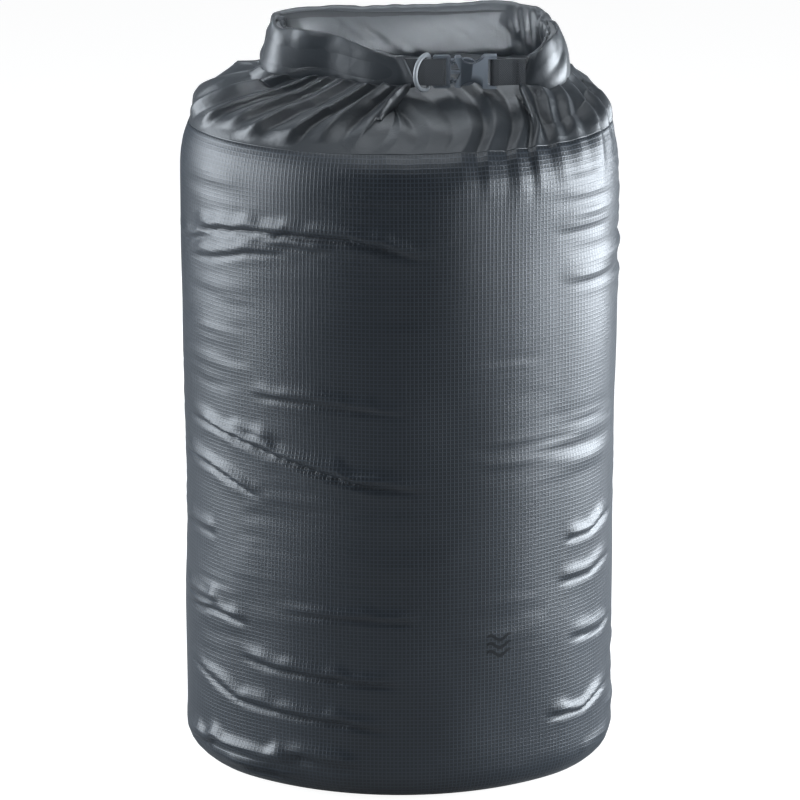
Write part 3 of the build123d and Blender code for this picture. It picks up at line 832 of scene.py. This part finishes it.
class SackLooks(bpy.types.PropertyGroup):
    """Sizes and colours of the sack's looks."""

    ripstop_pitch: FloatProperty(
        name="Ripstop pitch",
        description="Spacing of the thick threads",
        default=0.003,
        min=0.001,
        precision=4,
        unit="LENGTH",
    )
    crease_height: factor_setting("Creases", "How far the body's creases stand out", 1.3)
    pleat_height: factor_setting("Pleats", "How far the collar's pleats stand out", 1.0)
    ripstop_dark: colour_setting("Ripstop, dark", "Darker colour of the body's cloth", "#12161a")
    ripstop_light: colour_setting("Ripstop, light", "Lighter colour of the body's cloth", "#1a1f25")
    # Painted highlight colour of the ripstop's thick threads.
    ripstop_thread_highlight: colour_setting("Ripstop thread highlight", "Painted highlight colour of the thick threads", "#434d58")
    collar_dark: colour_setting("Collar, dark", "Darker colour of collar and roll", "#15191d")
    collar_light: colour_setting("Collar, light", "Lighter colour of collar and roll", "#22272c")
    webbing_dark: colour_setting("Webbing, dark", "Colour between the ribs", "#131518")
    webbing_light: colour_setting("Webbing, light", "Colour of the ribs", "#34383d")
    buckle_dark: colour_setting("Buckle, dark", "Darker colour of the buckle", "#2a2e33")
    buckle_light: colour_setting("Buckle, light", "Lighter colour of the buckle", "#363b41")
    ring_dark: colour_setting("Ring, dark", "Darker colour of the D-ring", "#6f7275")
    ring_light: colour_setting("Ring, light", "Lighter colour of the D-ring", "#828588")
    floor_colour: FloatVectorProperty(
        name="Floor", description="Colour of the floor", subtype="COLOR", default=(0.24, 0.24, 0.24)
    )
    lamp_strength: factor_setting("Lamps", "Power of all the lamps", 1.0)


def looks():
    """The scene's settings of this sack."""
    return bpy.context.scene.sack_looks


# ---------------------------------------------------------------- the pieces
class SACK_OT_cloth(bpy.types.Operator):
    """Make the ripstop body, the base and the pleated collar"""

    bl_idname = "sack.cloth"
    bl_label = "Body, base and collar"

    def execute(self, context):
        ripstop, smooth_cloth = ripstop_nylon(looks()), smooth_nylon(looks())
        low = BASE_SEAM + np.linspace(0, 1, 9)[:-1] ** 1.2 * 30
        heights = np.concatenate([low, np.linspace(BASE_SEAM + 30, COLLAR_SEAM, WALL_ROWS)])
        points, plain_cloth, uv = upper_cloth(
            heights, COLLAR_ROWS, looks().crease_height, looks().pleat_height
        )
        seam = len(heights) - 1
        # The body's cloth laps two rows under the collar's, so that no light shows between them.
        under = slice(seam + 1, seam + 3)
        lap = points[:, under] - grid_normals(points)[:, under] * 0.5
        panel = np.concatenate([points[:, : seam + 1], lap], axis=1)
        folded = walled(panel, uv[:, : seam + 3], 4.5, 14)
        body = grid_mesh("ripstop_body", *folded, ring_along=True)
        finish_piece(body, ripstop, "bag", "ripstop_fabric", "body_panel")
        folded = walled(points[:, seam:], uv[:, seam:], 0.9, 3)
        collar = grid_mesh("pleated_collar", *folded, ring_along=True)
        finish_piece(collar, smooth_cloth, None, "collar_fabric", "collar_panel")
        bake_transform(collar)

        ink = plain_finish("screen_printed_ink", "#0d1013", "#14181c", 0.42, 500)
        for stroke in printed_waves(points[:, : seam + 1], uv[:-1, 0, 0] / MM, heights):
            finish_piece(stroke, ink, "bag", "ripstop_fabric")

        tape = plain_finish("heat_bonded_seam_tape", "#4b5158", "#5a6169", 0.35, 120)
        inside = plain_cloth - grid_normals(plain_cloth) * TAPE_DEPTH
        wall = slice(6, seam - 3)
        for name, strip, closed in (
            ("collar_seam_tape", inside[:, seam - 3 : seam + 6], True),
            ("base_seam_tape", inside[:, 0:6], True),
            ("side_seam_tape", np.concatenate([inside[-3:, wall], inside[:4, wall]]), False),
        ):
            flat = np.zeros((len(strip) + closed, strip.shape[1], 2))
            piece = grid_mesh(f"{name}_strip", strip, flat, closed=closed)
            modifier(piece, "SOLIDIFY", thickness=0.3 * MM, offset=-1)
            finish_piece(piece, tape, "bag", "seam_tape", name)

        points = base_surface()
        wrapped = np.concatenate([points, points[:1]])
        base = grid_mesh("base_panel_cloth", points, wrapped[..., :2] * MM)
        modifier(base, "SOLIDIFY", thickness=0.5 * MM, offset=-1)
        finish_piece(base, ripstop, "bag", "ripstop_fabric", "base_panel")
        return {"FINISHED"}


def bend_with_loop(piece, material, slot, node):
    """Finish a layer of the roll, hide the CAD parts it takes the place of, and bake its place into
    its mesh.
    """
    nodes = [f"{node}_{part}" for part in ("back", "left", "right")]
    finish_piece(piece, material, None, slot, *nodes)
    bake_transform(piece)


class SACK_OT_roll(bpy.types.Operator):
    """Roll the mouth and bend it round, with its inner turn and its stiffener"""

    bl_idname = "sack.roll"
    bl_label = "Rolled mouth"

    def execute(self, context):
        cloth = bpy.data.materials["coated_plain_nylon"]
        strip = plain_finish("pressed_polyethylene_strip", "#15171a", "#1d2023", 0.5, 300)
        for name, node, inset, wrinkled in (
            ("rolled_mouth", "roll_wrap", 0.0, True),
            ("roll_inner_turns", "roll_inner_turn", 1.6, False),
        ):
            piece = grid_mesh(name, *roll_tube(240, 72, inset, wrinkled))
            modifier(piece, "SOLIDIFY", thickness=0.6 * MM, offset=-1)
            bend_with_loop(piece, cloth, "collar_fabric", node)
        piece = grid_mesh("mouth_stiffener", stiffener_strip(200), np.zeros((5, 200, 2)))
        bend_with_loop(piece, strip, "stiffener", "mouth_stiffener")
        return {"FINISHED"}


def merged_copy(node):
    """A copy of a CAD node's mesh, open for work with its loose triangles joined."""
    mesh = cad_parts[node].data.copy()
    work = bmesh.new()
    work.from_mesh(mesh)
    bmesh.ops.remove_doubles(work, verts=work.verts, dist=1e-6)
    return mesh, work


def placed(name, mesh, work):
    """Close the work on a mesh and put it in the scene as a piece."""
    work.to_mesh(mesh)
    work.free()
    return in_scene(name, mesh)


def cut_across(node, name, step):
    """A copy of a CAD node's mesh, cut across every step mm along x."""
    mesh, work = merged_copy(node)
    low, high = (corner.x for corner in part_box(node))
    for x in np.arange(low + step * MM, high, step * MM):
        everything = [*work.verts, *work.edges, *work.faces]
        bmesh.ops.bisect_plane(work, geom=everything, plane_co=(x, 0, 0), plane_no=(1, 0, 0))
    return placed(name, mesh, work)


def bevelled_copy(node, body, slot, finish, width):
    """A copy of a hard CAD part with its flat faces whole and its edges rounded, in its place."""
    mesh, work = merged_copy(node)
    bmesh.ops.dissolve_limit(work, angle_limit=np.radians(1.5), verts=work.verts, edges=work.edges)
    for face in work.faces:
        face.smooth = True
    piece = placed(f"{node}_moulding", mesh, work)
    rounding = {"width": width * MM, "segments": 2, "angle_limit": np.radians(32)}
    modifier(piece, "BEVEL", **rounding, limit_method="ANGLE", harden_normals=True)
    return finish_piece(piece, finish, body, slot, node)


class SACK_OT_hardware(bpy.types.Operator):
    """Finish the webbing, the D-ring and the buckle"""

    bl_idname = "sack.hardware"
    bl_label = "Webbing, ring and buckle"

    def execute(self, context):
        chosen = looks()
        webbing = woven_webbing(chosen)
        buckle = moulded_acetal("moulded_acetal_buckle", chosen.buckle_dark, chosen.buckle_light)
        ring = moulded_acetal("moulded_acetal_ring", chosen.ring_dark, chosen.ring_light)
        thread = plain_finish("bonded_polyester_thread", "#101214", "#24272b", 0.6, 900)
        finishes = {"left_webbing": webbing, "left_bartack": thread, "right_bartack": thread}
        for node, finish in finishes.items():
            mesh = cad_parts[node].data
            mesh.materials.clear()
            mesh.materials.append(finish)
        strap = cut_across("right_webbing", "right_strap", 1.5)
        finish_piece(strap, webbing, None, "webbing", "right_webbing")
        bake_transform(strap)
        bevelled_copy("buckle_plug", "closure_loop", "buckle", buckle, 0.5)
        bevelled_copy("buckle_socket", "buckle_socket", "buckle", buckle, 0.7)
        bevelled_copy("latch_prong_upper", "upper_latch", "buckle", buckle, 0.3)
        bevelled_copy("latch_prong_lower", "lower_latch", "buckle", buckle, 0.3)
        bevelled_copy("d_ring", "d_ring", "ring", ring, 0.3)
        return {"FINISHED"}


# Each lamp's place and aim in metres, its width and height in metres, its power in watts and its
# spread in degrees. The last one lights no more than the roll.
LAMPS = (
    ("left_softbox", (-1.4, -0.15, 0.55), (0, 0, 0.25), (1.1, 1.6), 53.0, 180),
    ("right_softbox", (1.35, 0.05, 0.33), (0, 0, 0.25), (1.5, 0.62), 54.0, 180),
    ("front_right_softbox", (1.4, -1.3, 0.5), (0, 0, 0.25), (0.7, 1.4), 5.0, 180),
    ("top_front_softbox", (0.1, -0.5, 2.1), (0, 0, 0.5), (1.1, 0.5), 9.0, 180),
    ("top_back_softbox", (0.0, 0.9, 1.9), (0, 0, 0.5), (1.4, 0.8), 14.0, 180),
    ("roll_softbox", (0.1, -0.9, 1.2), (0, 0, 0.66), (0.5, 0.1), 0.38, 16),
)
LAMP_COLOUR = (0.86, 0.93, 1.0)
SKY_COLOUR = (0.93, 0.96, 1.0, 1)
SKY_SEEN, SKY_LIGHT = 0.97, 0.03  # added where the camera sees the sky, and everywhere
FLOOR_GLOW = 0.93  # what the camera sees of the floor beyond the light that falls on it
FLOOR_REACH, FLOOR_DROP = 6.0, 0.0005  # in metres
CAMERA_AIM, CAMERA_DISTANCE = (0, 0, 0.285), 3.5  # in metres
CAMERA_RISE = np.radians(18)
CAMERA_LENS = 205  # in mm, on a sensor 36 mm wide


def aim_from(thing, place, aim):
    """Put a lamp or the camera in its place and turn it to its aim."""
    thing.location = place
    thing.rotation_euler = (aim - place).to_track_quat("-Z", "Y").to_euler()


class SACK_OT_stage(bpy.types.Operator):
    """Set the floor, the studio lights and the camera"""

    bl_idname = "sack.stage"
    bl_label = "Stage"

    def execute(self, context):
        scene = context.scene
        floor_mesh = bpy.data.meshes.new("floor")
        corners = ((-1, -1), (1, -1), (1, 1), (-1, 1))
        places = [(x * FLOOR_REACH, y * FLOOR_REACH, -FLOOR_DROP) for x, y in corners]
        floor_mesh.from_pydata(places, [], [(0, 1, 2, 3)])
        made, tree, shader = material("studio_floor")
        camera_ray = shade(tree, "ShaderNodeLightPath").outputs["Is Camera Ray"]
        glow = maths(tree, "MULTIPLY", camera_ray, FLOOR_GLOW)
        fill(tree, shader, {"Base Color": (*looks().floor_colour, 1), "Roughness": 0.9})
        fill(tree, shader, {"Emission Color": (1, 1, 1, 1), "Emission Strength": glow})
        floor_mesh.materials.append(made)
        in_scene("floor", floor_mesh)

        world = bpy.data.worlds.new("studio")
        world.use_nodes = True
        tree = world.node_tree
        camera_ray = shade(tree, "ShaderNodeLightPath").outputs["Is Camera Ray"]
        strength = maths(tree, "MULTIPLY_ADD", camera_ray, SKY_SEEN, SKY_LIGHT)
        fill(tree, tree.nodes["Background"], {"Color": SKY_COLOUR, "Strength": strength})
        scene.world = world

        for name, place, aim, (wide, tall), power, spread in LAMPS:
            light = bpy.data.lights.new(name, "AREA")
            light.shape = "RECTANGLE"
            light.size, light.size_y = wide, tall
            light.energy = power * looks().lamp_strength
            light.color = LAMP_COLOUR
            light.spread = np.radians(spread)
            aim_from(in_scene(name, light), Vector(place), Vector(aim))

        view = bpy.data.cameras.new("camera")
        view.lens = CAMERA_LENS
        view.sensor_width = 36
        scene.camera = in_scene("camera", view)
        aim = Vector(CAMERA_AIM)
        away = Vector((0, -np.cos(CAMERA_RISE), np.sin(CAMERA_RISE)))
        aim_from(scene.camera, aim + away * CAMERA_DISTANCE, aim)
        scene.view_settings.view_transform = "Standard"
        return {"FINISHED"}


OPERATORS = (SACK_OT_stage, SACK_OT_cloth, SACK_OT_roll, SACK_OT_hardware)


class SACK_PT_panel(bpy.types.Panel):
    """Lists the sack's settings and the pieces it can make"""

    bl_idname = "SACK_PT_panel"
    bl_label = "Roll-Top Sack"
    bl_space_type = "VIEW_3D"
    bl_region_type = "UI"
    bl_category = "Sack"

    def draw(self, context):
        for name in SackLooks.__annotations__:
            self.layout.prop(context.scene.sack_looks, name)
        for operator in OPERATORS:
            self.layout.operator(operator.bl_idname)


CLASSES = (SackLooks, *OPERATORS, SACK_PT_panel)


def register():
    for cls in CLASSES:
        bpy.utils.register_class(cls)
    bpy.types.Scene.sack_looks = PointerProperty(type=SackLooks)


def unregister():
    del bpy.types.Scene.sack_looks
    for cls in reversed(CLASSES):
        bpy.utils.unregister_class(cls)


def main():
    """Make every piece in order."""
    register()
    bpy.ops.sack.stage()
    bpy.ops.sack.cloth()
    bpy.ops.sack.roll()
    bpy.ops.sack.hardware()


if __name__ == "__main__":
    main()
